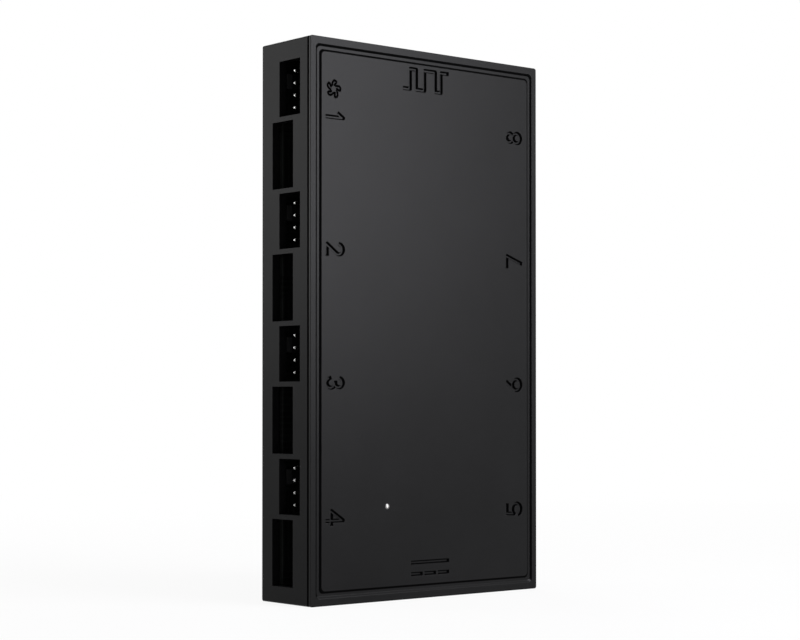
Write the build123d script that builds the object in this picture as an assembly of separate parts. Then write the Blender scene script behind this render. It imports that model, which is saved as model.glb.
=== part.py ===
from build123d import *

import os

# Fan and light hub for a computer case: a flat moulded case that stands on its power end.
# Fan sockets and light sockets take turns down both long sides, in numbered pairs. One more
# pair for the control leads is in the top end, and the power inlet is in the bottom end.
#
# Millimetres. +Z runs up the case, the front face looks towards -Y, and the origin is the
# middle of the bottom end. Depths are counted back from the front face.

# Case
case_width = 62.8
case_depth = 16.5
case_length = 115.0
corner_radius = 0.5
back_edge_chamfer = 0.15
side_wall = 1.7
back_wall = 1.5

# Front cover, with a shadow gap between its edge and the case
cover_edge = 0.5
cover_edge_chamfer = 0.1
cover_thickness = 1.8
shadow_gap = 0.6
shadow_depth = 0.5
lip_reach = 1.5
lip_thickness = 1.0
lip_clearance = 0.1

# Groove that frames the cover's face
groove_side_margin = 1.3
groove_end_margin = 1.6
groove_width = 1.2
groove_depth = 0.4
groove_corner_radius = 0.9
groove_draft = 40.0

# Circuit board
board_thickness = 1.6
board_standoff = 1.5
board_clearance = 0.3

# Contact pins, in one row at the standard pitch
pin_pitch = 2.54
pin_width = 0.64
pin_taper = 0.18
pin_bend_chamfer = 0.3
pin_bend_room = 0.5
pin_tail = 1.0

# Fan sockets: four pins and a locking tongue
fan_positions = 4
fan_tip_clearance = 0.2
fan_pin_height = 3.85
fan_pin_exposed = 7.5
fan_base_depth = 3.2
fan_base_above_pins = 2.45
tongue_width = 3.1
tongue_offset = 1.95
tongue_thickness = 1.0
tongue_board_gap = 0.3
tongue_setback = 0.1
tongue_ramp_length = 1.2
tongue_ramp_height = 0.35

# Light sockets: four positions, one of them left blank as the key
light_positions = 4
light_blank = 2
light_tip_recess = 5.0
light_pin_height = 1.5
light_pin_exposed = 6.0
light_base_depth = 2.5
light_base_above_pins = 1.25

# Windows in the walls, ahead of the pin rows so that a plug's latch clears
window_width = 7.0
window_lead = 1.05
fan_plug_room = 0.6
light_plug_room = 1.79
window_web = 1.0
row_offset = -0.35
least_end_margin = 3.3

# Power inlet: a keyed blade with fifteen flat contacts
inlet_contacts = 15
inlet_pitch = 1.27
inlet_contact_width = 0.8
inlet_contact_thickness = 0.15
inlet_contact_setback = 0.5
inlet_tip_clearance = 0.3
inlet_blade_length = 7.0
inlet_blade_thickness = 1.2
inlet_blade_height = 2.0
inlet_blade_end = 0.4
inlet_key_height = 2.4
inlet_key_width = 1.2
inlet_body_depth = 5.0
inlet_body_margin = 0.6
inlet_plug_room = 1.9
inlet_window_low = 0.3
inlet_window_high = 7.6

# Screws from the back, through the board into the cover's bosses
screw_from_end = 25.0
screw_boss_radius = 2.6
screw_radius = 1.25
screw_length = 10.0
screw_head_radius = 2.3
screw_sunk = 0.1
screw_clearance = 0.05
screw_tip_room = 0.6
screw_recess_length = 2.6
screw_recess_width = 0.6
screw_recess_depth = 0.7
board_hole_clearance = 0.2

# Status light and the clear pipe that carries it to the front face
light_from_side = 20.05
light_from_end = 19.55
pipe_radius = 0.55
pipe_clearance = 0.05
pipe_body_radius = 1.2
pipe_led_gap = 0.2
led_length = 3.2
led_width = 1.6
led_height = 1.1

# Parts on the board
chip_size = 7.0
chip_height = 0.9
buffer_length = 5.0
buffer_width = 4.4
buffer_height = 1.0
capacitor_radius = 3.15
capacitor_height = 5.4
capacitor_base = 6.6
capacitor_base_height = 1.0
capacitor_base_chamfer = 1.2
capacitor_spacing = 9.0
fuse_length = 4.5
fuse_width = 3.2
fuse_height = 1.2
fuse_from_side = 21.0
resistor_length = 2.0
resistor_width = 1.25
resistor_height = 0.5
resistor_gap = 2.0
board_part_spacing = 16.0

# How far a cutting shape runs past the surface that it cuts
cut_over = 1.0

# Depths through the case
front_y = -case_depth / 2
back_y = case_depth / 2
rim_y = front_y + cover_edge + shadow_gap
cover_inside_y = front_y + cover_thickness
floor_y = back_y - back_wall
board_back_y = floor_y - board_standoff
board_front_y = board_back_y - board_thickness

# Headers, measured inwards from the outer wall
fan_tip = side_wall + fan_tip_clearance
fan_base = fan_tip + fan_pin_exposed
fan_bend = fan_base + fan_base_depth + pin_bend_room + pin_width
light_base = light_tip_recess + light_pin_exposed
light_bend = light_base + light_base_depth + pin_bend_room + pin_width
fan_width = fan_positions * pin_pitch
light_width = light_positions * pin_pitch

# Power inlet, measured the same way, with heights above the board
inlet_tip = side_wall + inlet_tip_clearance
inlet_base = inlet_tip + inlet_blade_length
inlet_bend = inlet_base + inlet_body_depth + pin_bend_room + inlet_contact_thickness
inlet_row = (inlet_contacts - 1) * inlet_pitch + inlet_contact_width
inlet_blade_width = inlet_row + inlet_key_width + 3 * inlet_blade_end
inlet_blade_top = inlet_blade_height + inlet_blade_thickness / 2
inlet_contact_top = inlet_blade_top + inlet_contact_thickness
inlet_window_length = inlet_blade_width + 2 * inlet_plug_room

# Rows of windows along the sides
fan_window = fan_width + 2 * fan_plug_room
light_window = light_width + 2 * light_plug_room
pair_pitch = fan_window + light_window + 2 * window_web
ports_per_side = int((case_length - 2 * least_end_margin + window_web) // pair_pitch)
row_length = ports_per_side * pair_pitch - window_web
row_top = (case_length + row_length) / 2 + row_offset

# Screws and status light on the front face
screw_places = [(0, screw_from_end), (0, case_length - screw_from_end)]
light_x = light_from_side - case_width / 2
light_z = light_from_end
board_middle_z = case_length / 2


def front_plane(x, y, z):
    """Plane that looks out of the front face, with its own axes along +X and +Z."""
    return Plane(origin=(x, y, z), x_dir=(1, 0, 0), z_dir=(0, -1, 0))


def rounded_slab(near_y, far_y):
    """Plate of the case's outline, with its rounded corners, between two depths."""
    outline = RectangleRounded(case_width, case_length, corner_radius)
    return extrude(front_plane(0, far_y, case_length / 2) * outline, amount=far_y - near_y)


def inner_slab(near_y, far_y, inset):
    """Plate that is smaller than the case's outline by inset on every side."""
    outline = Rectangle(case_width - 2 * inset, case_length - 2 * inset)
    return extrude(front_plane(0, far_y, case_length / 2) * outline, amount=far_y - near_y)


def round_bar(x, z, near_y, far_y, radius):
    """Round bar along Y between two depths."""
    return extrude(front_plane(x, far_y, z) * Circle(radius), amount=far_y - near_y)


def board_part(x, z, width, length, height):
    """Box that stands on the front of the board."""
    return extrude(front_plane(x, board_front_y, z) * Rectangle(width, length), amount=height)


def block(u, v, h):
    """Box between three pairs of limits, in a socket's own axes."""
    middle = [(low + high) / 2 for low, high in (u, v, h)]
    return Pos(*middle) * Box(*(high - low for low, high in (u, v, h)))


def spread(count, pitch):
    """Places of a row of count things about its middle."""
    return [(i - (count - 1) / 2) * pitch for i in range(count)]


# A socket's own axes: inwards from the outer wall, along the row, and up from the board.


def socket_plane(x, z, inwards):
    return Plane(origin=(x, board_front_y, z), x_dir=inwards, z_dir=(0, -1, 0))


def fan_middle_z(pair):
    return row_top - pair * pair_pitch - fan_window / 2


def light_middle_z(pair):
    return fan_middle_z(pair) - fan_window / 2 - window_web - light_window / 2


def side_sockets():
    """Each port's number and the planes of its two sockets, down the left side and up the right."""
    ports = []
    for pair in range(ports_per_side):
        for number, side in ((pair + 1, -1), (2 * ports_per_side - pair, 1)):
            x, inwards = side * case_width / 2, (-side, 0, 0)
            fan = socket_plane(x, fan_middle_z(pair), inwards)
            light = socket_plane(x, light_middle_z(pair), inwards)
            ports.append((number, fan, light))
    return sorted(ports, key=lambda port: port[0])


def control_sockets():
    """Planes of the two sockets in the top end, a pair about its middle."""
    pair_half = (fan_window + window_web + light_window) / 2
    fan = socket_plane(fan_window / 2 - pair_half, case_length, (0, 0, -1))
    light = socket_plane(pair_half - light_window / 2, case_length, (0, 0, -1))
    return fan, light


def inlet_socket():
    return socket_plane(0, 0, (0, 0, 1))


# Windows


def wall_cut(plane, length, low, high):
    """Opening through one wall at a socket."""
    through = (-cut_over, side_wall + cut_over)
    return plane * block(through, (-length / 2, length / 2), (low, high))


def pin_window(plane, length, pin_height):
    middle = pin_height + window_lead
    return wall_cut(plane, length, middle - window_width / 2, middle + window_width / 2)


def all_windows():
    top_fan, top_light = control_sockets()
    fans = [fan for _, fan, _ in side_sockets()] + [top_fan]
    lights = [light for _, _, light in side_sockets()] + [top_light]
    cuts = [pin_window(plane, fan_window, fan_pin_height) for plane in fans]
    cuts += [pin_window(plane, light_window, light_pin_height) for plane in lights]
    cuts.append(wall_cut(inlet_socket(), inlet_window_length, inlet_window_low, inlet_window_high))
    return cuts


# Screws


def screw_solid(grow):
    """Countersunk screw along Y with its head's top at the origin, thicker all round by grow."""
    head, shank = screw_head_radius + grow, screw_radius + grow
    profile = Polyline(
        (0, 0),
        (head, 0),
        (shank, screw_radius - screw_head_radius),
        (shank, -screw_length),
        (0, -screw_length),
        close=True,
    )
    return revolve(make_face(profile), axis=Axis.Y)


def screw_cuts():
    """Clearance for each screw through the back wall and its post."""
    way_in = round_bar(0, 0, 0, cut_over, screw_head_radius + screw_clearance)
    tool = screw_solid(screw_clearance) + way_in
    return [Pos(x, back_y - screw_sunk, z) * tool for x, z in screw_places]


def case_screws():
    screw = screw_solid(0)
    arm = Box(screw_recess_length, 2 * screw_recess_depth, screw_recess_width)
    screw = screw - [Rot(0, angle, 0) * arm for angle in (0, 90)]
    return [Pos(x, back_y - screw_sunk, z) * screw for x, z in screw_places]


# Case and cover


def case_body():
    """Tray of back and walls in one moulding, with the windows and the posts under the board."""
    body = rounded_slab(rim_y, back_y)
    body = chamfer(body.faces().sort_by(Axis.Y)[-1].edges(), back_edge_chamfer)
    body -= inner_slab(rim_y - cut_over, floor_y, side_wall)
    body += [round_bar(x, z, board_back_y, floor_y, screw_boss_radius) for x, z in screw_places]
    return body - (all_windows() + screw_cuts())


def groove_loop():
    """Ring of the framing groove, wider at the face than at its floor."""
    plane = front_plane(0, front_y, case_length / 2)
    width = case_width - 2 * groove_side_margin
    length = case_length - 2 * groove_end_margin
    inner_width, inner_length = width - 2 * groove_width, length - 2 * groove_width
    outer = plane * RectangleRounded(width, length, groove_corner_radius)
    inner = plane * RectangleRounded(inner_width, inner_length, groove_corner_radius)
    sunk = extrude(outer, amount=-groove_depth, taper=groove_draft)
    return sunk - extrude(inner, amount=-groove_depth, taper=-groove_draft)


def cover_lip():
    """Wall under the cover that locates it inside the case."""
    outside = side_wall + lip_clearance
    inside = outside + lip_thickness
    lip_end = rim_y + lip_reach
    return inner_slab(rim_y, lip_end, outside) - inner_slab(rim_y - cut_over, lip_end + cut_over, inside)


def front_cover():
    """Cover plate with its shadow gap, framing groove, locating lip and screw bosses."""
    plate = rounded_slab(front_y, front_y + cover_edge)
    plate = chamfer(plate.faces().sort_by(Axis.Y)[0].edges(), cover_edge_chamfer)
    plate += inner_slab(front_y + cover_edge, rim_y, shadow_depth)
    plate += inner_slab(rim_y, cover_inside_y, side_wall + lip_clearance)
    plate += cover_lip()
    plate += [round_bar(x, z, cover_inside_y, board_front_y, screw_boss_radius) for x, z in screw_places]
    bore_end = back_y - screw_sunk - screw_length - screw_tip_room
    bore_radius = screw_radius + screw_clearance
    bores = [round_bar(x, z, bore_end, board_front_y + cut_over, bore_radius) for x, z in screw_places]
    near_y, far_y = front_y - cut_over, cover_inside_y + cut_over
    light_hole = round_bar(light_x, light_z, near_y, far_y, pipe_radius + pipe_clearance)
    return plate - (bores + [light_hole, groove_loop()])


# Headers and their pins


def bent_pin(tip, height, bend):
    """Square pin that runs inwards from its tip, then turns down through the board."""
    top, under = height + pin_width / 2, height - pin_width / 2
    end = -board_thickness - pin_tail
    profile = Polyline(
        (tip, top),
        (bend - pin_bend_chamfer, top),
        (bend, top - pin_bend_chamfer),
        (bend, end),
        (bend - pin_width, end),
        (bend - pin_width, under),
        (tip, under),
        close=True,
    )
    pin = extrude(make_face(Plane.XZ * profile), amount=pin_width / 2, both=True)
    return chamfer(pin.faces().sort_by(Axis.X)[0].edges(), pin_taper)


def pin_row(tip, height, bend, places):
    pin = bent_pin(tip, height, bend)
    return [Pos(0, v, 0) * pin for v in places]


def pin_holes(base, depth, height, places):
    """Square holes that take a row of pins through a header's base."""
    half = pin_width / 2
    along, up = (base - cut_over, base + depth + cut_over), (height - half, height + half)
    return [block(along, (v - half, v + half), up) for v in places]


def fan_places():
    return spread(fan_positions, pin_pitch)


def light_places():
    return [v for i, v in enumerate(spread(light_positions, pin_pitch)) if i != light_blank]


def fan_header():
    """Base block with a locking tongue that lies along the board side of the pins."""
    top = fan_pin_height + fan_base_above_pins
    along = (fan_base, fan_base + fan_base_depth)
    base = block(along, (-fan_width / 2, fan_width / 2), (0, top))
    start = fan_tip + tongue_setback
    low, high = tongue_board_gap, tongue_board_gap + tongue_thickness
    profile = Polyline(
        (fan_base, low),
        (start, low),
        (start, high),
        (start + tongue_ramp_length, high + tongue_ramp_height),
        (start + tongue_ramp_length, high),
        (fan_base, high),
        close=True,
    )
    tongue = extrude(make_face(Plane.XZ * profile), amount=tongue_width / 2, both=True)
    header = base + Pos(0, tongue_offset, 0) * tongue
    return header - pin_holes(fan_base, fan_base_depth, fan_pin_height, fan_places())


def fan_pins():
    return pin_row(fan_tip, fan_pin_height, fan_bend, fan_places())


def light_header():
    top = light_pin_height + light_base_above_pins
    along = (light_base, light_base + light_base_depth)
    base = block(along, (-light_width / 2, light_width / 2), (0, top))
    return base - pin_holes(light_base, light_base_depth, light_pin_height, light_places())


def light_pins():
    return pin_row(light_tip_recess, light_pin_height, light_bend, light_places())


# Power inlet


def inlet_places():
    """Contacts along the blade, clear of the key at its low end."""
    middle = (inlet_key_width + inlet_blade_end) / 2
    return [middle + v for v in spread(inlet_contacts, inlet_pitch)]


def power_inlet():
    """Body with an L-shaped blade that the plug slides over."""
    half = inlet_blade_width / 2
    body_half = half + inlet_body_margin
    body_along = (inlet_base, inlet_base + inlet_body_depth)
    body = block(body_along, (-body_half, body_half), (0, inlet_window_high))
    blade_low = inlet_blade_top - inlet_blade_thickness
    blade = block((inlet_tip, inlet_base), (-half, half), (blade_low, inlet_blade_top))
    key_end = inlet_blade_top + inlet_key_height
    key = block((inlet_tip, inlet_base), (-half, inlet_key_width - half), (inlet_blade_top, key_end))
    slot_half = inlet_contact_width / 2
    along, up = (inlet_base - cut_over, inlet_bend), (inlet_blade_top, inlet_contact_top)
    slots = [block(along, (v - slot_half, v + slot_half), up) for v in inlet_places()]
    return body + blade + key - slots


def power_contacts():
    """Flat strips along the blade that turn down to the board behind the body."""
    profile = Polyline(
        (inlet_tip + inlet_contact_setback, inlet_blade_top),
        (inlet_bend - inlet_contact_thickness, inlet_blade_top),
        (inlet_bend - inlet_contact_thickness, 0),
        (inlet_bend, 0),
        (inlet_bend, inlet_contact_top),
        (inlet_tip + inlet_contact_setback, inlet_contact_top),
        close=True,
    )
    strip = extrude(make_face(Plane.XZ * profile), amount=inlet_contact_width / 2, both=True)
    return [Pos(0, v, 0) * strip for v in inlet_places()]


# Board and the parts on it


def tail_holes(plane, bend, places):
    """Openings in the board that the soldered tails of one row of pins fill."""
    half = pin_width / 2
    through = (-board_thickness - cut_over, cut_over)
    return [plane * block((bend - pin_width, bend), (v - half, v + half), through) for v in places]


def circuit_board():
    board = inner_slab(board_front_y, board_back_y, side_wall + board_clearance)
    near_y, far_y = board_front_y - cut_over, board_back_y + cut_over
    hole_radius = screw_radius + board_hole_clearance
    holes = [round_bar(x, z, near_y, far_y, hole_radius) for x, z in screw_places]
    top_fan, top_light = control_sockets()
    for fan in [fan for _, fan, _ in side_sockets()] + [top_fan]:
        holes += tail_holes(fan, fan_bend, fan_places())
    for light in [light for _, _, light in side_sockets()] + [top_light]:
        holes += tail_holes(light, light_bend, light_places())
    return board - holes


def capacitor_places():
    z = board_middle_z - board_part_spacing
    return [(x, z) for x in spread(2, capacitor_spacing)]


def capacitor_bases():
    square = Rectangle(capacitor_base, capacitor_base)
    outline = chamfer(square.vertices().sort_by(Axis.Y)[-2:], capacitor_base_chamfer)
    planes = [front_plane(x, board_front_y, z) for x, z in capacitor_places()]
    return [extrude(plane * outline, amount=capacitor_base_height) for plane in planes]


def capacitor_cans():
    seat_y = board_front_y - capacitor_base_height
    top_y = seat_y - capacitor_height
    return [round_bar(x, z, top_y, seat_y, capacitor_radius) for x, z in capacitor_places()]


def light_pipe():
    """Clear rod from the status light to the cover, with a thin nose through to its face."""
    end_y = board_front_y - led_height - pipe_led_gap
    nose = round_bar(light_x, light_z, front_y, cover_inside_y, pipe_radius)
    return nose + round_bar(light_x, light_z, cover_inside_y, end_y, pipe_body_radius)


def small_board_parts():
    """Chips and other small parts by name."""
    middle = board_middle_z
    buffer_z = middle + board_part_spacing
    resistor_x = light_x + (led_width + resistor_width) / 2 + resistor_gap
    fuse_x = case_width / 2 - fuse_from_side
    return {
        "controller_chip": board_part(0, middle, chip_size, chip_size, chip_height),
        "signal_buffer": board_part(0, buffer_z, buffer_width, buffer_length, buffer_height),
        "input_fuse": board_part(fuse_x, light_z, fuse_width, fuse_length, fuse_height),
        "status_led": board_part(light_x, light_z, led_width, led_length, led_height),
        "led_resistor": board_part(resistor_x, light_z, resistor_width, resistor_length, resistor_height),
    }


def placed(plane, shapes):
    """Shapes of a socket's own axes, set at its plane."""
    return [plane * shape for shape in shapes]


def all_nodes():
    """Every piece by its node name, as a list of solids."""
    nodes = {
        "case_body": [case_body()],
        "front_cover": [front_cover()],
        "circuit_board": [circuit_board()],
        "case_screws": case_screws(),
        "light_pipe": [light_pipe()],
        "capacitor_bases": capacitor_bases(),
        "capacitor_cans": capacitor_cans(),
    }
    nodes.update({name: [shape] for name, shape in small_board_parts().items()})
    pieces = {"fan_header": [fan_header()], "fan_pins": fan_pins()}
    light_pieces = {"light_header": [light_header()], "light_pins": light_pins()}
    for number, fan, light in side_sockets():
        for name, shapes in pieces.items():
            nodes[f"{name}_{number}"] = placed(fan, shapes)
        for name, shapes in light_pieces.items():
            nodes[f"{name}_{number}"] = placed(light, shapes)
    top_fan, top_light = control_sockets()
    nodes["control_header"] = placed(top_fan, pieces["fan_header"])
    nodes["control_pins"] = placed(top_fan, pieces["fan_pins"])
    nodes["sync_header"] = placed(top_light, light_pieces["light_header"])
    nodes["sync_pins"] = placed(top_light, light_pieces["light_pins"])
    nodes["power_inlet"] = placed(inlet_socket(), [power_inlet()])
    nodes["power_contacts"] = placed(inlet_socket(), power_contacts())
    return nodes


os.makedirs("parts", exist_ok=True)
for name, shapes in all_nodes().items():
    solids = [solid for shape in shapes for solid in shape.solids()]
    export_step(solids[0] if len(solids) == 1 else Compound(solids), f"parts/{name}.step")
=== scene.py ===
import math

import bmesh
import bpy
import numpy as np
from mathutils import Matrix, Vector
from mathutils.geometry import delaunay_2d_cdt


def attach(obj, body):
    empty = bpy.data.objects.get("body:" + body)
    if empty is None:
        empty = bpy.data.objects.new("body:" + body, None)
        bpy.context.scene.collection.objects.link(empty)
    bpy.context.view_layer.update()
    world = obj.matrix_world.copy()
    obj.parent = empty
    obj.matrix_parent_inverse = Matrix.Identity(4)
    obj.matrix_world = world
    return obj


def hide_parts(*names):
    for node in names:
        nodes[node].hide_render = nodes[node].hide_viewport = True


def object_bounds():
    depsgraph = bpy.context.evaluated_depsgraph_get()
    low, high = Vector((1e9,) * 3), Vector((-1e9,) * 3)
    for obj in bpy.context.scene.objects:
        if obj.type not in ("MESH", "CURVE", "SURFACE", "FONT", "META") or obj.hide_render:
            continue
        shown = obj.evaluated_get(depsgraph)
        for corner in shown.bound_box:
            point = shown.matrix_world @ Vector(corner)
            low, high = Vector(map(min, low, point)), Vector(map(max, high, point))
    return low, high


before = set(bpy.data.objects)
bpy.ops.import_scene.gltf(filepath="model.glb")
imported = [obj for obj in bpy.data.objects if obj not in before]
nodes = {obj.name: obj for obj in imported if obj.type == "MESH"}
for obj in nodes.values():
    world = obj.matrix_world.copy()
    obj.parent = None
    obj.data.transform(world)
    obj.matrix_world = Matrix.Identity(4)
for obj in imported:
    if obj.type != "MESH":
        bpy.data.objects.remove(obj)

mm = 0.001
tiny = 0.002 * mm
scene = bpy.context.scene
cadLow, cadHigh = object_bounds()  # box of the solids alone
frontY = cadLow.y / mm
halfWidth = cadHigh.x / mm
caseLength = cadHigh.z / mm
portCount = 8  # sockets of each kind, half down each side
print("frame loaded:", len(nodes), "nodes")


# small helpers for node trees

def startMaterial(name, sockets):
    material = bpy.data.materials.new(name)
    material.use_nodes = True
    tree = material.node_tree
    shader = tree.nodes["Principled BSDF"]
    for socket, value in sockets.items():
        shader.inputs[socket].default_value = value
    return material, tree, shader


def addNode(tree, kind, inputs=None, **settings):
    node = tree.nodes.new(kind)
    for key, value in settings.items():
        setattr(node, key, value)
    for socket, value in (inputs or {}).items():
        if isinstance(value, bpy.types.NodeSocket):
            tree.links.new(value, node.inputs[socket])
        else:
            node.inputs[socket].default_value = value
    return node


def ramp(tree, factor, stops):
    node = addNode(tree, "ShaderNodeValToRGB", {"Fac": factor})
    elements = node.color_ramp.elements
    while len(elements) < len(stops):
        elements.new(0.5)
    for element, (place, value) in zip(elements, stops):
        element.position = place
        element.color = value if len(value) == 4 else (*value, 1)
    return node.outputs["Color"]


def grey(value):
    return (value, value, value, 1)


def objectCoords(tree, scale=(1, 1, 1)):
    coords = addNode(tree, "ShaderNodeTexCoord")
    mapping = addNode(tree, "ShaderNodeMapping", {"Vector": coords.outputs["Object"], "Scale": scale})
    return mapping.outputs["Vector"]


def noiseAt(tree, coords, grain, detail=3.0, rough=0.55):
    inputs = {"Vector": coords, "Scale": 1 / (grain * mm), "Detail": detail, "Roughness": rough}
    return addNode(tree, "ShaderNodeTexNoise", inputs).outputs["Fac"]


def maths(tree, operation, *values):
    return addNode(tree, "ShaderNodeMath", dict(enumerate(values)), operation=operation).outputs[0]


def vectors(tree, operation, *values, out="Vector"):
    return addNode(tree, "ShaderNodeVectorMath", dict(enumerate(values)), operation=operation).outputs[out]


def spreadOver(tree, value, fromLow, fromHigh, toLow, toHigh):
    inputs = {"Value": value, "From Min": fromLow, "From Max": fromHigh, "To Min": toLow, "To Max": toHigh}
    return addNode(tree, "ShaderNodeMapRange", inputs).outputs["Result"]


def addBump(tree, shader, height, strength, distance):
    inputs = {"Height": height, "Strength": strength, "Distance": distance * mm}
    bump = addNode(tree, "ShaderNodeBump", inputs)
    tree.links.new(bump.outputs["Normal"], shader.inputs["Normal"])


def backdropRays(tree):  # rays that see the pale background, straight or in a reflection
    path = addNode(tree, "ShaderNodeLightPath").outputs
    seen = maths(tree, "MAXIMUM", path["Is Camera Ray"], path["Is Glossy Ray"])
    return maths(tree, "MAXIMUM", seen, path["Is Transmission Ray"])


noiseLow, noiseHigh = 0.3, 0.7  # most of a noise texture lies between these
grainHeight = 0.02  # of moulded grain, in millimetres
markHeight = 0.01  # of drawn marks
metalCloud = 2.5


# moulded plastics: spark-eroded grain in the bump, slow clouds in colour and gloss

plasticLooks = {
    "casePlastic": dict(dark=(0.0042, 0.0043, 0.0045), pale=(0.0058, 0.0059, 0.0062),
                        gloss=(0.34, 0.42), grain=0.16, cloud=9.0, bump=0.10, specular=0.05),
    "coverPlastic": dict(dark=(0.0028, 0.0028, 0.0030), pale=(0.0040, 0.0040, 0.0043),
                         gloss=(0.30, 0.38), grain=0.16, cloud=14.0, bump=0.10, specular=0.10),
    # near-black, matte and nearly without specular: painted shade for the steep walls inside cuts
    "paintedShadePlastic": dict(dark=(0.0012, 0.0012, 0.0013), pale=(0.0018, 0.0018, 0.0019),
                       gloss=(0.55, 0.65), grain=0.16, cloud=6.0, bump=0.10, specular=0.01),
    "headerPlastic": dict(dark=(0.0050, 0.0050, 0.0052), pale=(0.0075, 0.0075, 0.0078),
                          gloss=(0.40, 0.55), grain=0.22, cloud=3.0, bump=0.10, specular=0.12),
    "inletPlastic": dict(dark=(0.0065, 0.0065, 0.0068), pale=(0.0095, 0.0095, 0.0100),
                         gloss=(0.32, 0.46), grain=0.25, cloud=4.0, bump=0.10, specular=0.16),
    "chipPlastic": dict(dark=(0.0110, 0.0110, 0.0115), pale=(0.0200, 0.0200, 0.0210),
                        gloss=(0.50, 0.70), grain=0.12, cloud=2.0, bump=0.25, specular=0.4),
    "fuseBody": dict(dark=(0.028, 0.040, 0.032), pale=(0.045, 0.062, 0.050),
                     gloss=(0.35, 0.50), grain=0.30, cloud=1.5, bump=0.12, specular=0.5),
    "resistorBody": dict(dark=(0.012, 0.012, 0.014), pale=(0.030, 0.030, 0.034),
                         gloss=(0.25, 0.45), grain=0.20, cloud=0.8, bump=0.15, specular=0.5),
    "capacitorBase": dict(dark=(0.0085, 0.0085, 0.0090), pale=(0.0140, 0.0140, 0.0150),
                          gloss=(0.40, 0.55), grain=0.25, cloud=2.0, bump=0.15, specular=0.45),
}


def mouldedPlastic(name, look):
    material, tree, shader = startMaterial(name, {"Specular IOR Level": look["specular"], "IOR": 1.5})
    coords = objectCoords(tree)
    grain = noiseAt(tree, coords, look["grain"], detail=2.0)
    cloud = noiseAt(tree, coords, look["cloud"], detail=4.0)
    colour = ramp(tree, cloud, [(noiseLow, look["dark"]), (noiseHigh, look["pale"])])
    tree.links.new(colour, shader.inputs["Base Color"])
    gloss = spreadOver(tree, grain, noiseLow, noiseHigh, *look["gloss"])
    tree.links.new(gloss, shader.inputs["Roughness"])
    addBump(tree, shader, grain, look["bump"], grainHeight)
    return material


# metals: drawn marks run along one axis of the piece

metalLooks = {
    # the tin pins' side shade darkens the faces turned front and back: painted shade
    "tinPin": dict(dark=(0.62, 0.62, 0.61), pale=(0.86, 0.86, 0.85), gloss=(0.16, 0.32),
                   grain=0.30, marks=(0.15, 1.0, 1.0), bump=0.12, sideShade=0.2, turned=(0.25, 0.65)),
    "goldContact": dict(dark=(0.72, 0.49, 0.17), pale=(0.90, 0.66, 0.28), gloss=(0.16, 0.30),
                        grain=0.25, marks=(1.0, 1.0, 0.12), bump=0.10),
    "canMetal": dict(dark=(0.50, 0.51, 0.52), pale=(0.72, 0.73, 0.74), gloss=(0.22, 0.38),
                     grain=0.50, marks=(1.0, 0.10, 1.0), bump=0.15),
    "screwSteel": dict(dark=(0.030, 0.030, 0.032), pale=(0.075, 0.075, 0.080), gloss=(0.26, 0.42),
                       grain=0.22, marks=(1.0, 0.6, 1.0), bump=0.14),
}


def drawnMetal(name, look):
    material, tree, shader = startMaterial(name, {"Metallic": 1.0})
    marks = noiseAt(tree, objectCoords(tree, look["marks"]), look["grain"], detail=4.0)
    cloud = noiseAt(tree, objectCoords(tree), metalCloud)
    colour = ramp(tree, cloud, [(noiseLow, look["dark"]), (noiseHigh, look["pale"])])
    if "sideShade" in look:  # painted shade: the broad sides, facing front and back, are darkened in colour against the cut ends
        facing = addNode(tree, "ShaderNodeNewGeometry").outputs["True Normal"]
        turned = addNode(tree, "ShaderNodeSeparateXYZ", {"Vector": facing}).outputs["Y"]
        start, end = look["turned"]
        paintedShade = ramp(tree, maths(tree, "ABSOLUTE", turned), [(start, grey(1.0)), (end, grey(look["sideShade"]))])
        colour = vectors(tree, "MULTIPLY", colour, paintedShade)
    tree.links.new(colour, shader.inputs["Base Color"])
    gloss = spreadOver(tree, marks, noiseLow, noiseHigh, *look["gloss"])
    tree.links.new(gloss, shader.inputs["Roughness"])
    addBump(tree, shader, marks, look["bump"], markHeight)
    return material


# black solder mask with copper runs showing through as low ridges

boardLook = dict(mask=(0.0030, 0.0034, 0.0032), run=(0.0060, 0.0070, 0.0063), runPitch=1.27, runShare=0.30,
                 runHeight=0.03, runBump=0.4, fieldSize=9.0, gloss=0.45, specular=0.1)


def boardMask(look):
    sockets = {"Roughness": look["gloss"], "Specular IOR Level": look["specular"]}
    material, tree, shader = startMaterial("boardMask", sockets)
    coords = objectCoords(tree)
    perMetre = 1 / (look["runPitch"] * mm)
    ridges = []
    for scale in ((perMetre, 0, 0), (0, 0, perMetre)):  # runs across the board, then along it
        mapped = addNode(tree, "ShaderNodeMapping", {"Vector": coords, "Scale": scale}).outputs["Vector"]
        saw = maths(tree, "PINGPONG", vectors(tree, "DOT_PRODUCT", mapped, (1, 1, 1), out="Value"), 0.5)
        ridges.append(maths(tree, "LESS_THAN", saw, look["runShare"] / 2))
    field = noiseAt(tree, coords, look["fieldSize"], detail=0.0)
    side = maths(tree, "GREATER_THAN", field, 0.5)
    runs = addNode(tree, "ShaderNodeMix", {"Factor": side, "A": ridges[0], "B": ridges[1]}).outputs["Result"]
    tree.links.new(ramp(tree, runs, [(0.2, look["mask"]), (0.8, look["run"])]), shader.inputs["Base Color"])
    addBump(tree, shader, runs, look["runBump"], look["runHeight"])
    return material


# light pipe: smoked clear plastic that glows at its outer end, and the small lamp behind it

pipeLook = dict(glow=(1.0, 0.99, 0.97, 1), smoke=(0.10, 0.10, 0.11, 1), strength=1.35, core=0.14, rim=0.46,
                spread=(1.45, 0, 1), fade=0.5, dim=0.1, place=(-11.35, 19.61), gloss=0.12, index=1.58,
                clear=0.85, haze=0.3, bump=0.1)


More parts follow.
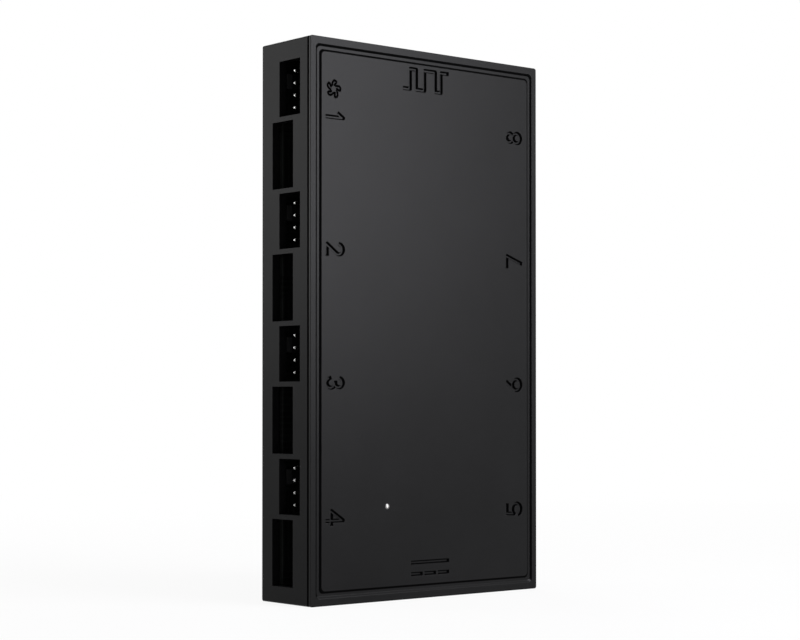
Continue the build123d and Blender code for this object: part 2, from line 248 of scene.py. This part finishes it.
def clearPipe(look):
    sockets = {"Base Color": look["smoke"], "Roughness": look["gloss"], "IOR": look["index"],
               "Transmission Weight": look["clear"], "Emission Color": look["glow"]}
    material, tree, shader = startMaterial("clearPipe", sockets)
    coords = objectCoords(tree)
    axis = (look["place"][0] * mm, 0, look["place"][1] * mm)
    offset = vectors(tree, "SUBTRACT", coords, axis)
    flat = vectors(tree, "MULTIPLY", offset, look["spread"])  # taller than wide, and the same at any depth
    reach = vectors(tree, "LENGTH", flat, out="Value")
    glow = spreadOver(tree, reach, look["core"] * mm, look["rim"] * mm, look["strength"], look["dim"])
    depth = addNode(tree, "ShaderNodeSeparateXYZ", {"Vector": coords}).outputs["Y"]
    fade = spreadOver(tree, depth, frontY * mm, (frontY + look["fade"]) * mm, 1.0, look["dim"])
    tree.links.new(maths(tree, "MULTIPLY", glow, fade), shader.inputs["Emission Strength"])
    addBump(tree, shader, noiseAt(tree, coords, look["haze"]), look["bump"], grainHeight)
    return material


lampLook = dict(glow=pipeLook["glow"], strength=0.3, body=(0.62, 0.57, 0.42), lens=(0.80, 0.72, 0.40),
                cell=0.6, gloss=0.4)


def lampBody(look):
    sockets = {"Roughness": look["gloss"], "Emission Color": look["glow"],
               "Emission Strength": look["strength"]}
    material, tree, shader = startMaterial("lampBody", sockets)
    cells = noiseAt(tree, objectCoords(tree), look["cell"])
    colour = ramp(tree, cells, [(0.35, look["body"]), (0.65, look["lens"])])
    tree.links.new(colour, shader.inputs["Base Color"])
    return material


finishes = {name: mouldedPlastic(name, look) for name, look in plasticLooks.items()}
finishes.update({name: drawnMetal(name, look) for name, look in metalLooks.items()})
finishes["boardMask"] = boardMask(boardLook)
finishes["clearPipe"] = clearPipe(pipeLook)
finishes["lampBody"] = lampBody(lampLook)
print("finishes made:", len(finishes))


# pieces and their meshes

def addPiece(name, shell, finish, slotName, *stoodFor):
    mesh = bpy.data.meshes.new(name)
    shell.to_mesh(mesh)
    shell.free()
    if "custom_normal" in mesh.attributes:
        mesh.attributes.remove(mesh.attributes["custom_normal"])  # shading comes from the new faces
    mesh.materials.append(finishes[finish])
    piece = bpy.data.objects.new(name, mesh)
    scene.collection.objects.link(piece)
    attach(piece, "root")
    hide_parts(*stoodFor)
    return piece


def weldedCopy(node):
    shell = bmesh.new()
    shell.from_mesh(nodes[node].data)
    bmesh.ops.remove_doubles(shell, verts=shell.verts, dist=tiny)
    return shell


def softenEdges(piece, width, segments=2, angle=30):
    bevel = piece.modifiers.new("edges", "BEVEL")
    bevel.width = width * mm
    bevel.segments = segments
    bevel.limit_method = "ANGLE"
    bevel.angle_limit = math.radians(angle)
    bevel.use_clamp_overlap = True
    bevel.miter_outer = "MITER_ARC"
    piece.data.shade_smooth()
    normals = piece.modifiers.new("normals", "WEIGHTED_NORMAL")
    normals.weight = 100
    normals.keep_sharp = True


# strokes of the engraved numbers and signs, u to the right and v up, in millimetres

def arc(cu, cv, radius, start, end, steps=18, squeeze=1.0):
    turns = np.radians(np.linspace(start, end, steps + 1))
    return [(cu + squeeze * radius * math.cos(t), cv + radius * math.sin(t)) for t in turns]


engraving = dict(height=5.0, stroke=0.84, depth=0.45, wall=0.27, cell=0.07, snap=0.5, border=0.36,
                 baseline={-1: 27.57, 1: 27.18}, firstRow=98.99, rowPitch=27.1)

top = (engraving["height"] - engraving["stroke"]) / 2
numberStrokes = {
    1: [[(0.08, -top), (0.08, top), (-0.66, top - 1.2)]],
    2: [arc(-0.22, top - 1.02, 1.02, 170, -38) + [(-1.24, -top), (0.80, -top)]],
    3: [arc(-0.22, top - 0.99, 0.99, 160, -90, squeeze=0.92),
        arc(-0.22, 1.09 - top, 1.09, 90, -160, squeeze=0.92)],
    4: [[(0.58, -top), (0.58, top), (-1.42, -0.95), (1.20, -0.95)]],
    5: [[(0.95, top), (-0.85, top), (-0.98, 0.05)] + arc(0, 1.24 - top, 1.24, 140, -150)],
    6: [[(0.62, top)] + arc(0.1, 1.2 - top, 1.2, 152, 512, 36)],
    7: [[(-1.13, top), (1.13, top), (-0.33, -top)]],
    8: [arc(0, top - 0.99, 0.99, 0, 360, 28, 0.95), arc(0, 1.09 - top, 1.09, 0, 360, 32, 0.95)],
}


# one swept blade from hub to tip and back, as radius and turn
bladeOutline = [(0.80, 0), (1.08, -15), (1.35, -24), (1.58, -31), (1.74, -41), (1.76, -51), (1.66, -61),
                (1.44, -62), (1.20, -57), (0.98, -52), (0.80, -48)]
fanForm = dict(blades=5, first=53.0)


def fanBlades(form):
    outlines = []
    for i in range(form["blades"]):
        lead = form["first"] + 360 * i / form["blades"]
        turns = [(radius, math.radians(lead + turn)) for radius, turn in bladeOutline]
        outlines.append([(radius * math.cos(t), radius * math.sin(t)) for radius, t in turns])
    return outlines


# square pulses for the control sockets, bar over dashes for the power inlet
pulseSign = [[(-6.2, -2.1), (-4.6, -2.1), (-4.6, 2.1), (-2.9, 2.1), (-2.9, -2.1), (-0.6, -2.1), (-0.6, 2.1),
              (2.4, 2.1), (2.4, -2.1), (4.0, -2.1), (4.0, 2.1), (5.7, 2.1)]]
directSign = [[(-4.9, 1.2), (4.9, 1.2)], [(-4.9, -1.2), (-2.5, -1.2)], [(-1.2, -1.2), (1.2, -1.2)],
              [(2.5, -1.2), (4.9, -1.2)]]

# stroke: the width of its lines, whose ends are cut square or left round
signLooks = [
    dict(name="fan sign", strokes=fanBlades(fanForm), centre=(-25.50, 104.64), up=(0, 1), stroke=0.44,
         depth=0.42, wall=0.22, square=False),
    dict(name="pulse sign", strokes=pulseSign, centre=(-0.5, 108.85), up=(0, 1), stroke=0.84, depth=0.45,
         wall=0.27, square=True),
    dict(name="direct sign", strokes=directSign, centre=(0.35, 6.35), up=(0, 1), stroke=0.84, depth=0.45,
         wall=0.27, square=True),
]


def allSigns():
    signs = list(signLooks)
    for number, strokes in numberStrokes.items():
        left = number <= portCount // 2
        row = number - 1 if left else portCount - number
        side = -1 if left else 1
        centre = (side * (engraving["baseline"][side] - engraving["height"] / 2),
                  engraving["firstRow"] - row * engraving["rowPitch"])
        signs.append(dict(name=f"number {number}", strokes=strokes, centre=centre, up=(-side, 0),
                          stroke=engraving["stroke"], depth=engraving["depth"], wall=engraving["wall"],
                          square=True))
    return signs


def placedStrokes(sign):
    up = np.array(sign["up"], float)
    right = np.array((up[1], -up[0]))
    centre = np.array(sign["centre"])
    return [np.array([centre + u * right + v * up for u, v in line]) for line in sign["strokes"]]


def cutRelief(points, lines, sign):
    half = sign["stroke"] / 2
    gap = np.full(len(points), np.inf)  # how far outside the cut's edge
    away = np.zeros_like(points)
    for line in lines:
        last = len(line) - 2
        for i, (a, b) in enumerate(zip(line[:-1], line[1:])):
            run = b - a
            length = np.linalg.norm(run)
            along = (points - a) @ run / length
            t = np.clip(along / length, 0, 1)
            offset = points - (a + t[:, None] * run)
            reach = np.linalg.norm(offset, axis=1)
            side = np.abs((points - a) @ np.array((-run[1], run[0])) / length)
            if i == 0 and sign["square"]:
                reach = np.where(along < 0, np.maximum(side, -along), reach)
            if i == last and sign["square"]:
                reach = np.where(along > length, np.maximum(side, along - length), reach)
            better = reach - half < gap
            gap[better] = (reach - half)[better]
            away[better] = (offset / np.maximum(reach, tiny)[:, None])[better]
    moved = points.copy()
    for edge in (0.0, -sign["wall"]):
        near = np.abs(gap - edge) < engraving["snap"] * engraving["cell"]  # these move onto the cut's edges
        moved[near] += away[near] * (edge - gap[near])[:, None]
        gap[near] = edge
    return moved, sign["depth"] * np.clip(-gap / sign["wall"], 0, 1)


def reliefFaces(corners, levels):
    a, b, c, d = corners
    if max(levels) - min(levels) < tiny:
        return [corners]
    if abs(levels[0] - levels[2]) < abs(levels[1] - levels[3]):
        return [(a, b, c), (a, c, d)]
    return [(a, b, d), (b, c, d)]


def signPatch(sign):
    lines = placedStrokes(sign)
    everything = np.concatenate(lines)
    room = sign["stroke"] / 2 + engraving["border"]
    low, high = everything.min(0) - room, everything.max(0) + room
    count = np.ceil((high - low) / engraving["cell"]).astype(int) + 1
    xs = np.linspace(low[0], high[0], count[0])
    zs = np.linspace(low[1], high[1], count[1])
    grid = np.stack(np.meshgrid(xs, zs, indexing="ij"), -1)
    moved, depth = cutRelief(grid.reshape(-1, 2), lines, sign)
    return dict(low=low, high=high, grid=moved.reshape(grid.shape), depth=depth.reshape(count))


# front cover: the solid's own back, with a finer skin on the front

coverForm = dict(flange=0.5, corner=0.5, edgeRound=0.1, edgeSteps=5, grooveSide=1.37, grooveEnd=1.52,
                 grooveWidth=1.45, grooveDepth=0.32, grooveDraft=53.0, grooveCorner=0.9, grooveSteps=34,
                 soften=0.12, softenSteps=13, support=0.06)


def boundaryLoops(shell):
    left = [edge for edge in shell.edges if edge.is_boundary]
    loops = []
    while left:
        edge = left.pop()
        start, vert = edge.verts
        loop = [start]
        while vert is not start:
            loop.append(vert)
            edge = next(e for e in vert.link_edges if e in left)
            left.remove(edge)
            vert = edge.other_vert(vert)
        loops.append(loop)
    return loops


def grooveDepthAt(across, form):
    wall = form["grooveDepth"] * math.tan(math.radians(form["grooveDraft"]))
    depth = 0.0
    offsets = np.linspace(-form["soften"] / 2, form["soften"] / 2, form["softenSteps"])
    for offset in offsets:
        s = across + offset
        depth += min(max(min(s, form["grooveWidth"] - s) / wall, 0.0), 1.0)
    return form["grooveDepth"] * depth / len(offsets)


def skinRings(form):
    rings = []
    for turn in np.radians(np.linspace(0, 90, form["edgeSteps"] + 1)):
        inset = form["edgeRound"] * (1 - math.cos(turn))
        rings.append((inset, inset, form["corner"] - inset, form["edgeRound"] * (1 - math.sin(turn))))
    inset = form["edgeRound"] + form["support"]
    rings.append((inset, inset, form["corner"] - inset, 0.0))
    reach = form["soften"] / 2 + form["support"]
    for across in np.linspace(-reach, form["grooveWidth"] + reach, form["grooveSteps"] + 1):
        rings.append((form["grooveSide"] + across, form["grooveEnd"] + across, form["grooveCorner"],
                      grooveDepthAt(across, form)))
    return rings


def coverShell(form):
    shell = weldedCopy("front_cover")
    under = (frontY + form["flange"]) * mm
    skin = []
    for face in shell.faces:
        ys = [vert.co.y for vert in face.verts]
        if max(ys) < under + tiny and min(ys) < under - tiny:
            skin.append(face)
    bmesh.ops.delete(shell, geom=skin, context="FACES")
    lampRing, outline = sorted(boundaryLoops(shell), key=lambda loop: max(vert.co.z for vert in loop))
    middle = caseLength / 2

    # each outline point sits on one corner's arc, at a fixed angle
    arcs = []
    for vert in outline:
        sideX = 1 if vert.co.x > 0 else -1
        sideZ = 1 if vert.co.z > middle * mm else -1
        cx = sideX * (halfWidth - form["corner"])
        cz = middle + sideZ * (middle - form["corner"])
        arcs.append((sideX, sideZ, math.atan2(vert.co.z / mm - cz, vert.co.x / mm - cx)))

    ring = outline
    for insetX, insetZ, corner, depth in skinRings(form):
        nextRing = []
        for sideX, sideZ, turn in arcs:
            x = sideX * (halfWidth - insetX - corner) + corner * math.cos(turn)
            z = middle + sideZ * (middle - insetZ - corner) + corner * math.sin(turn)
            nextRing.append(shell.verts.new(Vector((x, frontY + depth, z)) * mm))
        for i in range(len(ring)):
            j = (i + 1) % len(ring)
            shell.faces.new((ring[i], ring[j], nextRing[j], nextRing[i]))
        ring = nextRing
    fillFace(shell, ring, lampRing)
    bmesh.ops.recalc_face_normals(shell, faces=shell.faces)
    return shell


def fillFace(shell, border, lampRing):
    patches = [signPatch(sign) for sign in allSigns()]
    points = []
    verts = []
    edges = []

    def addLoop(loop):
        first = len(points)
        for vert in loop:
            points.append(Vector((vert.co.x / mm, vert.co.z / mm)))
            verts.append(vert)
        for i in range(len(loop)):
            edges.append((first + i, first + (i + 1) % len(loop)))

    addLoop(border)
    addLoop(lampRing)
    for patch in patches:
        nx, nz = patch["depth"].shape
        made = [[None] * nz for _ in range(nx)]
        for i in range(nx):
            for j in range(nz):
                x, z = patch["grid"][i, j]
                y = frontY + patch["depth"][i, j]
                made[i][j] = shell.verts.new((x * mm, y * mm, z * mm))
        for i in range(nx - 1):
            for j in range(nz - 1):
                square = [(i, j), (i + 1, j), (i + 1, j + 1), (i, j + 1)]
                levels = [patch["depth"][place] for place in square]
                for face in reliefFaces([made[k][m] for k, m in square], levels):
                    shell.faces.new(face)
        rim = [made[i][0] for i in range(nx - 1)] + [made[nx - 1][j] for j in range(nz - 1)]
        rim += [made[i][nz - 1] for i in range(nx - 1, 0, -1)] + [made[0][j] for j in range(nz - 1, 0, -1)]
        addLoop(rim)

    lampEnd = len(border) + len(lampRing)
    found = delaunay_2d_cdt(points, edges, [], 1, 1e-7)
    for triangle in found[2]:
        corners = [found[3][i][0] for i in triangle]
        if all(len(border) <= i < lampEnd for i in corners):
            continue  # inside the light's hole
        centre = sum((found[0][i] for i in triangle), Vector((0, 0))) / 3
        inPatch = any(p["low"][0] < centre.x < p["high"][0] and p["low"][1] < centre.y < p["high"][1]
                      for p in patches)
        if not inPatch:
            shell.faces.new([verts[i] for i in corners])


# cut walls of groove and signs get a darker finish as painted shade, except the groove's lower wall, which
# faces the light
paintedShadeForm = dict(fall=0.004, tilt=15, rim=1.0, deepest=0.46, lightTilt=0.3, lightBelow=3.2)
edgeForm = dict(level=0.005, frontAngle=75, angle=28)

shell = coverShell(coverForm)
openEdges = sum(not edge.is_manifold for edge in shell.edges)
for face in shell.faces:
    face.smooth = True
    levels = [vert.co.y / mm - frontY for vert in face.verts]
    tilted = abs(face.normal.y) < math.cos(math.radians(paintedShadeForm["tilt"]))
    steep = max(levels) - min(levels) > paintedShadeForm["fall"] and tilted
    reach = max(abs(vert.co.x) for vert in face.verts) / mm
    inside = reach < halfWidth - paintedShadeForm["rim"] and max(levels) < paintedShadeForm["deepest"]
    highest = max(vert.co.z for vert in face.verts) / mm
    lit = face.normal.z > paintedShadeForm["lightTilt"] and highest < paintedShadeForm["lightBelow"]
    # painted shade: steep walls inside the cuts take the darker finish, the lit lower groove wall keeps the
    # cover's
    face.material_index = int(steep and inside and not lit)
for edge in shell.edges:
    onFront = all(abs(vert.co.y / mm - frontY) < edgeForm["level"] for vert in edge.verts)
    edge.smooth = edge.calc_face_angle(0) < math.radians(edgeForm["frontAngle" if onFront else "angle"])
cover = addPiece("frontCover", shell, "coverPlastic", "cover_plastic", "front_cover")
# the cover's second finish, painted shade on its cut walls
cover.data.materials.append(finishes["paintedShadePlastic"])
print("front cover:", len(cover.data.polygons), "faces,", openEdges, "open edges")


# case tray: windows and back edges softened as a moulding's are

caseForm = dict(soften=0.14, segments=3)

case = addPiece("caseBody", weldedCopy("case_body"), "casePlastic", "case_plastic", "case_body")
softenEdges(case, caseForm["soften"], caseForm["segments"])
print("case tray:", len(case.data.polygons), "faces before its edges are softened")


# sockets: headers, pins, inlet blade and its contacts

socketPieces = [
    ("fanHeader", "fan_header", "headerPlastic", "header_plastic", 0.10),
    ("fanPins", "fan_pins", "tinPin", "pin_metal", 0.06),
    ("lightHeader", "light_header", "headerPlastic", "header_plastic", 0.10),
    ("lightPins", "light_pins", "tinPin", "pin_metal", 0.06),
]
for pieceName, node, finish, slotName, soften in socketPieces:
    for number in range(1, portCount + 1):
        solid = f"{node}_{number}"
        piece = addPiece(f"{pieceName}{number}", weldedCopy(solid), finish, slotName, solid)
        softenEdges(piece, soften)

endPieces = [
    ("controlHeader", "control_header", "headerPlastic", "header_plastic", 0.10),
    ("controlPins", "control_pins", "tinPin", "pin_metal", 0.06),
    ("syncHeader", "sync_header", "headerPlastic", "header_plastic", 0.10),
    ("syncPins", "sync_pins", "tinPin", "pin_metal", 0.06),
    ("powerInlet", "power_inlet", "inletPlastic", "inlet_plastic", 0.12),
    ("powerContacts", "power_contacts", "goldContact", "contact_metal", 0.03),
    ("capacitorBases", "capacitor_bases", "capacitorBase", "capacitor_base", 0.15),
    ("capacitorCans", "capacitor_cans", "canMetal", "capacitor_can", 0.35),
    ("controllerChip", "controller_chip", "chipPlastic", "chip_plastic", 0.10),
    ("signalBuffer", "signal_buffer", "chipPlastic", "chip_plastic", 0.10),
    ("inputFuse", "input_fuse", "fuseBody", "fuse_body", 0.10),
    ("ledResistor", "led_resistor", "resistorBody", "resistor_body", 0.06),
    ("statusLed", "status_led", "lampBody", "led_body", 0.10),
    ("lightPipe", "light_pipe", "clearPipe", "pipe_clear", 0.08),
    ("circuitBoard", "circuit_board", "boardMask", "board_mask", 0.05),
    ("caseScrews", "case_screws", "screwSteel", "screw_steel", 0.10),
]
for pieceName, node, finish, slotName, soften in endPieces:
    softenEdges(addPiece(pieceName, weldedCopy(node), finish, slotName, node), soften)
print("sockets and board parts placed")


# stage: pale floor that fades to white, soft boxes

stageLook = dict(floorSize=8.0, floorDrop=0.02, floorColour=0.86, floorSpeck=40.0, speckShade=0.02,
                 shadowShare=0.10, fadeFrom=0.06, fadeTo=0.45, worldLevel=0.22)


def floorFinish(look):
    material = bpy.data.materials.new("paleFloor")
    material.use_nodes = True
    tree = material.node_tree
    tree.nodes.clear()
    coords = addNode(tree, "ShaderNodeTexCoord").outputs["Object"]
    reach = vectors(tree, "LENGTH", coords, out="Value")
    fade = spreadOver(tree, reach, look["fadeFrom"], look["fadeTo"], 1 - look["shadowShare"], 1.0)
    share = maths(tree, "MULTIPLY", backdropRays(tree), fade)
    speck = noiseAt(tree, coords, look["floorSpeck"])
    shades = (look["floorColour"] - look["speckShade"], look["floorColour"])
    tone = ramp(tree, speck, [(noiseLow, grey(shades[0])), (noiseHigh, grey(shades[1]))])
    matte = addNode(tree, "ShaderNodeBsdfDiffuse", {"Color": tone}).outputs[0]
    white = addNode(tree, "ShaderNodeEmission", {"Color": grey(1.0), "Strength": 1.0}).outputs[0]
    mixed = addNode(tree, "ShaderNodeMixShader", {0: share, 1: matte, 2: white}).outputs[0]
    clear = addNode(tree, "ShaderNodeBsdfTransparent").outputs[0]
    below = addNode(tree, "ShaderNodeNewGeometry").outputs["Backfacing"]
    both = addNode(tree, "ShaderNodeMixShader", {0: below, 1: mixed, 2: clear}).outputs[0]  # clear below
    output = addNode(tree, "ShaderNodeOutputMaterial")
    tree.links.new(both, output.inputs["Surface"])
    return material


def flatSheet(name, width, height, material):
    mesh = bpy.data.meshes.new(name)
    corners = [(-width / 2, -height / 2, 0), (width / 2, -height / 2, 0), (width / 2, height / 2, 0),
               (-width / 2, height / 2, 0)]
    mesh.from_pydata(corners, [], [(0, 1, 2, 3)])
    mesh.materials.append(material)
    sheet = bpy.data.objects.new(name, mesh)
    scene.collection.objects.link(sheet)
    return sheet


def aimed(place, target):
    return (Vector(target) - Vector(place)).to_track_quat("-Z", "Y").to_euler()


floor = flatSheet("paleFloor", stageLook["floorSize"], stageLook["floorSize"], floorFinish(stageLook))
floor.location.z = cadLow.z - stageLook["floorDrop"] * mm

world = bpy.data.worlds.new("studio")
scene.world = world
world.use_nodes = True
sky = world.node_tree.nodes["Background"]
sky.inputs["Color"].default_value = grey(1.0)
skyLevel = spreadOver(world.node_tree, backdropRays(world.node_tree), 0.0, 1.0, stageLook["worldLevel"], 1.0)
world.node_tree.links.new(skyLevel, sky.inputs["Strength"])

target = (0, 0, caseLength / 2 * mm)

softBoxes = [
    dict(name="frontBox", place=(0.149, -0.37, 0.187), size=(0.25, 0.26), power=2.1, tint=(0.95, 0.95, 1.0)),
    dict(name="sideBox", place=(-0.395, 0.45, 0.21), size=(0.30, 0.26), power=1.04, tint=(1.0, 1.0, 1.0)),
    dict(name="backBox", place=(0.20, 0.46, 0.26), size=(0.30, 0.26), power=1.0, tint=(1.0, 1.0, 1.0)),
    dict(name="topBox", place=(-0.10, -0.20, 1.10), size=(0.90, 0.90), power=3.0, tint=(1.0, 1.0, 1.0)),
]
for box in softBoxes:
    lamp = bpy.data.lights.new(box["name"], "AREA")
    lamp.shape = "RECTANGLE"
    lamp.size, lamp.size_y = box["size"]
    lamp.energy = box["power"]
    lamp.color = box["tint"]
    lampObject = bpy.data.objects.new(box["name"], lamp)
    lampObject.location = box["place"]
    lampObject.visible_camera = False
    lampObject.rotation_euler = aimed(box["place"], target)
    scene.collection.objects.link(lampObject)

print("stage lit:", len(softBoxes), "soft boxes")


# camera at the photograph's own place and angle

cameraLook = dict(lens=87.734, sensor=36, near=0.01, place=(-0.269043, -0.318898, 0.041201), yaw=40.0463,
                  pitch=0.8036, rise=0.06794)

camera = bpy.data.objects.new("camera", bpy.data.cameras.new("camera"))
camera.data.sensor_width = cameraLook["sensor"]
camera.data.sensor_fit = "HORIZONTAL"
camera.data.lens = cameraLook["lens"]
camera.data.shift_y = cameraLook["rise"]
camera.data.clip_start = cameraLook["near"]
camera.location = cameraLook["place"]
camera.rotation_euler = (math.radians(90 + cameraLook["pitch"]), 0, -math.radians(cameraLook["yaw"]))
scene.collection.objects.link(camera)
scene.camera = camera
scene.view_settings.view_transform = "Standard"
